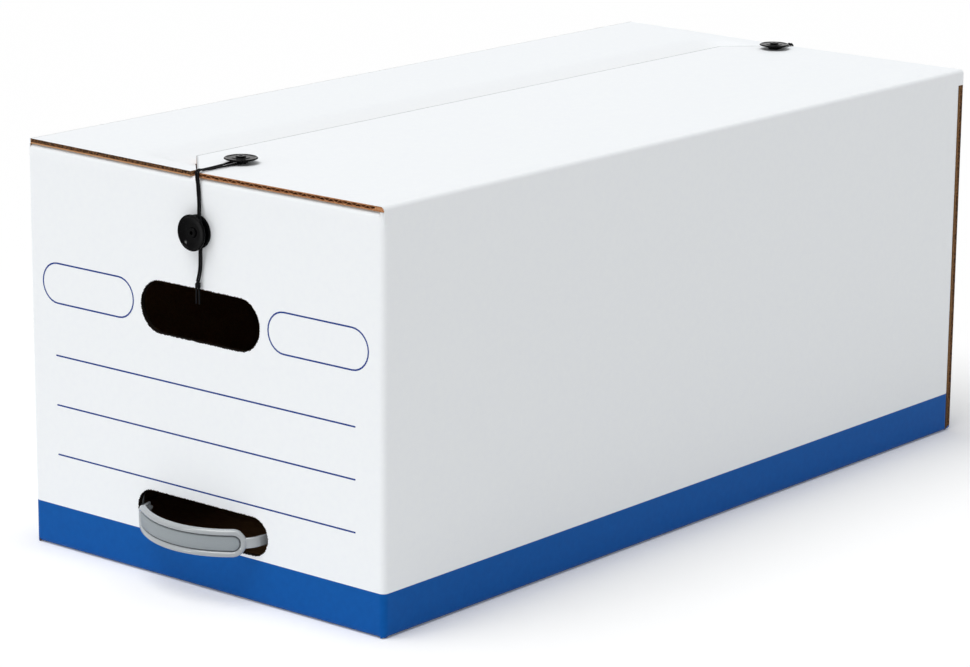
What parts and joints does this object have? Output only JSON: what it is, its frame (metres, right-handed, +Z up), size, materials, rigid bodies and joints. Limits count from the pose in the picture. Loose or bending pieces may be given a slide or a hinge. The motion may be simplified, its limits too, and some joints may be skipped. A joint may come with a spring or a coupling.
{
  "type": "storage box",
  "caption": "Long corrugated file storage box with a lapped lid flap, string-and-button closure, hand holes and a plastic carrying handle.",
  "frame": {"origin": "middle of the underside of the board box, on the floor", "axes": "+X across the front towards the lid's hinge side, +Y from the front with the handle to the back, +Z up"},
  "size_m": [0.311, 0.6743, 0.2781],
  "materials": {
    "white_board": "matte",
    "black_plastic": "gloss",
    "grey_fibre": "matte",
    "black_string": "matte",
    "grey_plastic": "satin"
  },
  "bodies": {
    "box": {"box_body": "white_board", "front_wall_button_cap": "black_plastic", "front_wall_button_base": "black_plastic", "front_wall_button_rivet": "black_plastic", "front_wall_button_backing": "grey_fibre", "back_wall_button_cap": "black_plastic", "back_wall_button_base": "black_plastic", "back_wall_button_rivet": "black_plastic", "back_wall_button_backing": "grey_fibre"},
    "lid_flap": {"outer_flap": "white_board", "front_flap_button_disc": "black_plastic", "front_flap_button_rivet": "black_plastic", "front_flap_button_backing": "grey_fibre", "back_flap_button_disc": "black_plastic", "back_flap_button_rivet": "black_plastic", "back_flap_button_backing": "grey_fibre", "front_string_looped": "black_string", "front_string_plain": "black_string", "front_string_knot": "black_string", "back_string_looped": "black_string", "back_string_plain": "black_string", "back_string_knot": "black_string"},
    "handle": {"carrying_handle": "grey_plastic"}
  },
  "joints": [
    {"name": "lid_flap_hinge", "type": "hinge", "parent": "box", "child": "lid_flap", "pos_m": [0.1555, 0, 0.273], "axis": [0, 1, 0], "range_deg": [0, 260], "deforming": ["front_string_looped", "front_string_plain", "front_string_knot", "back_string_looped", "back_string_plain", "back_string_knot"]},
    {"name": "handle_hinge", "type": "hinge", "parent": "box", "child": "handle", "pos_m": [0, -0.3151, 0.043], "axis": [-1, 0, 0], "range_deg": [0, 35]}
  ]
}
